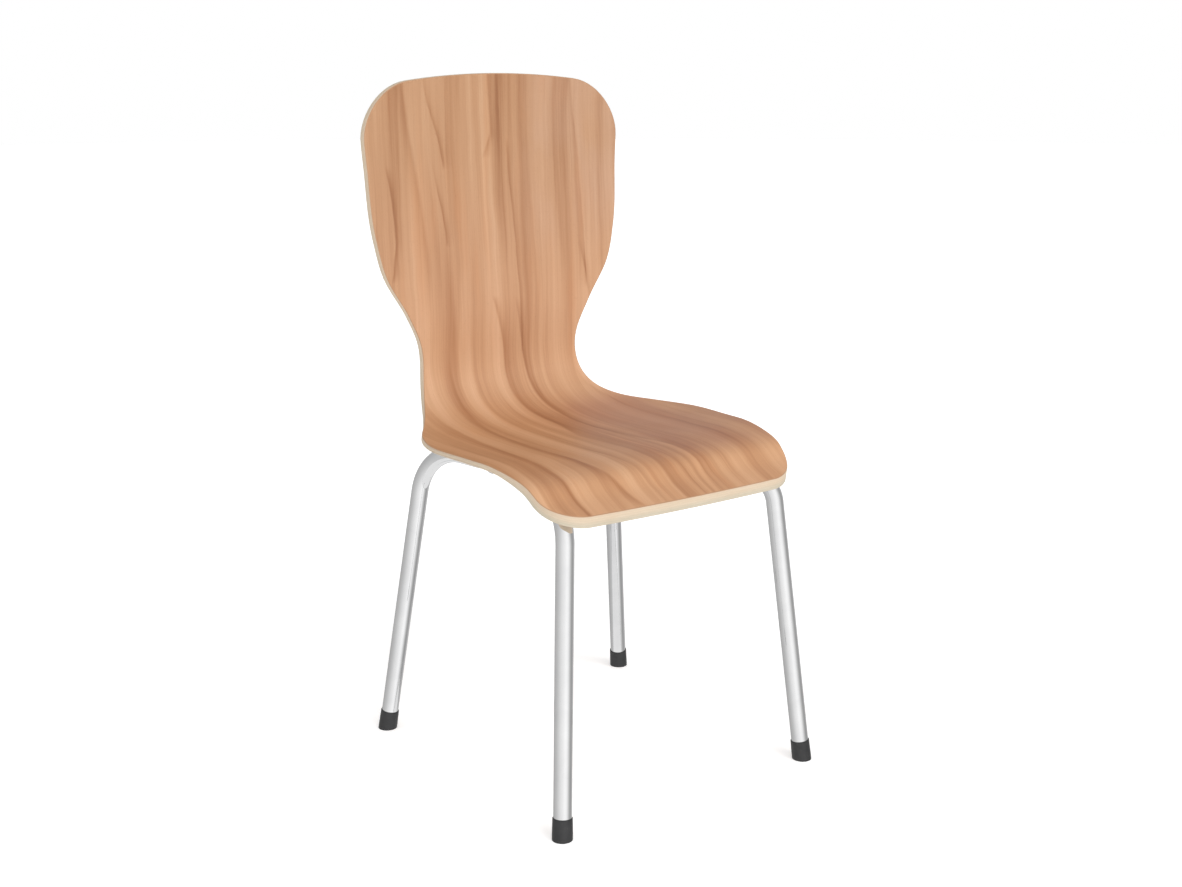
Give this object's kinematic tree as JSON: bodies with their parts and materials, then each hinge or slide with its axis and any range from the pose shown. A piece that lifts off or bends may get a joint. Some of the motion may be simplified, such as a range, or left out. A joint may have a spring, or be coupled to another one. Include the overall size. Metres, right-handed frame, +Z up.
{
  "type": "stacking chair",
  "caption": "Stacking chair with a waisted moulded plywood seat and back in one piece, on splayed bent tube legs with black ferrules.",
  "frame": {"origin": "on the floor under the middle of the chair's bounding box", "axes": "+Z up; the chair faces -Y, so the back is towards +Y; +X is on the right of someone who stands in front of the chair and looks at it"},
  "size_m": [0.4156, 0.4446, 0.8606],
  "materials": {
    "moulded_plywood": "clear-lacquered veneer face, light cross-laid plies showing along the edge",
    "chromed_steel": "polished chrome plating",
    "zinc_plated_steel": "dull zinc plating",
    "black_plastic": "fine-grained black moulding",
    "black_rubber": "satin black moulding"
  },
  "bodies": {
    "root": {"shell": "moulded_plywood", "side_frame_left": "chromed_steel", "side_frame_right": "chromed_steel", "cross_rail_front": "chromed_steel", "cross_rail_rear": "chromed_steel", "mounting_tab_front_left": "chromed_steel", "mounting_tab_front_right": "chromed_steel", "mounting_tab_rear_left": "chromed_steel", "mounting_tab_rear_right": "chromed_steel", "spacer_front_left": "black_plastic", "spacer_front_right": "black_plastic", "spacer_rear_left": "black_plastic", "spacer_rear_right": "black_plastic", "insert_nut_front_left": "zinc_plated_steel", "insert_nut_front_right": "zinc_plated_steel", "insert_nut_rear_left": "zinc_plated_steel", "insert_nut_rear_right": "zinc_plated_steel", "washer_front_left": "zinc_plated_steel", "washer_front_right": "zinc_plated_steel", "washer_rear_left": "zinc_plated_steel", "washer_rear_right": "zinc_plated_steel", "screw_front_left": "zinc_plated_steel", "screw_front_right": "zinc_plated_steel", "screw_rear_left": "zinc_plated_steel", "screw_rear_right": "zinc_plated_steel", "stacking_buffer_front_left": "black_plastic", "stacking_buffer_front_right": "black_plastic", "stacking_buffer_rear_left": "black_plastic", "stacking_buffer_rear_right": "black_plastic", "ferrule_front_left": "black_rubber", "ferrule_front_right": "black_rubber", "ferrule_rear_left": "black_rubber", "ferrule_rear_right": "black_rubber"}
  },
  "joints": []
}
